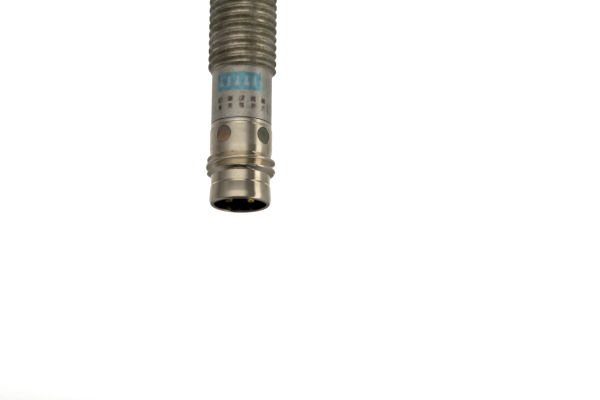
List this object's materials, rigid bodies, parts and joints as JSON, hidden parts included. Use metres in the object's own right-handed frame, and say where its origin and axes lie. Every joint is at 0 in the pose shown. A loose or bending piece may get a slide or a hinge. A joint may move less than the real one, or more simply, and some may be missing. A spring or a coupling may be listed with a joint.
{
  "type": "inductive proximity sensor",
  "caption": "Cylindrical proximity sensor: threaded metal barrel, label, collar with round lamp windows, and a male plug connector with pins; two nuts and toothed washers clamp it.",
  "frame": {"origin": "centre of the sensing face, which lies in the plane z = 0", "axes": "+Z along the barrel from the sensing face to the connector's rim; the lamp windows are turned so that -Y faces between an amber and a green one; contact pins 1 and 3 are on the +Y side and pin 4 on the -Y side"},
  "size_m": [0.015, 0.0148, 0.06],
  "materials": {
    "nickel_barrel": "nickel plating, handled and tarnished in the thread roots",
    "nickel_shell": "turned and nickel-plated, fairly bright",
    "nickel_nut": "nickel-plated, satin",
    "washer_steel": "zinc-plated spring steel",
    "face_plastic": "fine moulded PBT",
    "ferrite": "sintered ferrite, matt dark grey",
    "former_plastic": "moulded, matt",
    "copper_wire": "enamelled copper",
    "board": "green solder mask on glass-fibre board",
    "chip_black": "black moulding compound",
    "chip_ceramic": "tan ceramic",
    "lamp_amber": "clear-tinted",
    "lamp_green": "clear-tinted",
    "clear_guide": "clear acrylic",
    "lens_amber": "brown-amber tinted plug, unlit",
    "lens_green": "grey-green tinted plug, unlit",
    "insulator_black": "black moulded polyamide",
    "gold": "gold-plated, polished",
    "solder": "tin solder",
    "resin": "cast epoxy resin",
    "label_foil": "satin foil with a blue band and plain dark marks"
  },
  "bodies": {
    "sensor": {"barrel": "nickel_barrel", "face_cap": "face_plastic", "ferrite_core": "ferrite", "coil_bobbin": "former_plastic", "sensing_coil": "copper_wire", "coil_leads": "copper_wire", "core_carrier": "former_plastic", "circuit_board": "board", "oscillator_chip": "chip_black", "output_transistor": "chip_black", "protection_diodes": "chip_black", "chip_capacitors": "chip_ceramic", "chip_resistors": "chip_black", "status_led_front": "lamp_amber", "status_led_back": "lamp_green", "light_guide": "clear_guide", "lens_amber_1": "lens_amber", "lens_amber_2": "lens_amber", "lens_green_1": "lens_green", "lens_green_2": "lens_green", "connector_shell": "nickel_shell", "contact_carrier": "insulator_black", "contact_pin_1": "gold", "contact_pin_3": "gold", "contact_pin_4": "gold", "solder_joints": "solder", "potting_resin": "resin", "label": "label_foil"},
    "front_washer": {"lock_washer_front": "washer_steel"},
    "front_nut": {"lock_nut_front": "nickel_nut"},
    "rear_washer": {"lock_washer_rear": "washer_steel"},
    "rear_nut": {"lock_nut_rear": "nickel_nut"}
  },
  "joints": [
    {"name": "front_washer_slide", "type": "slide", "parent": "sensor", "child": "front_washer", "axis": [0, 0, 1], "range_m": [-0.00401, 0.00201]},
    {"name": "front_nut_turn", "type": "hinge", "parent": "front_washer", "child": "front_nut", "pos_m": [0, 0, 0.007], "axis": [0, 0, 1], "range_deg": [-1440, 720]},
    {"name": "rear_washer_slide", "type": "slide", "parent": "sensor", "child": "rear_washer", "axis": [0, 0, 1], "range_m": [-0.00201, 0.02201]},
    {"name": "rear_nut_turn", "type": "hinge", "parent": "rear_washer", "child": "rear_nut", "pos_m": [0, 0, 0.019], "axis": [0, 0, 1], "range_deg": [-720, 7920]}
  ],
  "couplings": [
    {"joint": "front_washer_slide", "follows": "front_nut_turn", "m_per_rad": 0.00015915},
    {"joint": "rear_washer_slide", "follows": "rear_nut_turn", "m_per_rad": 0.00015915}
  ]
}
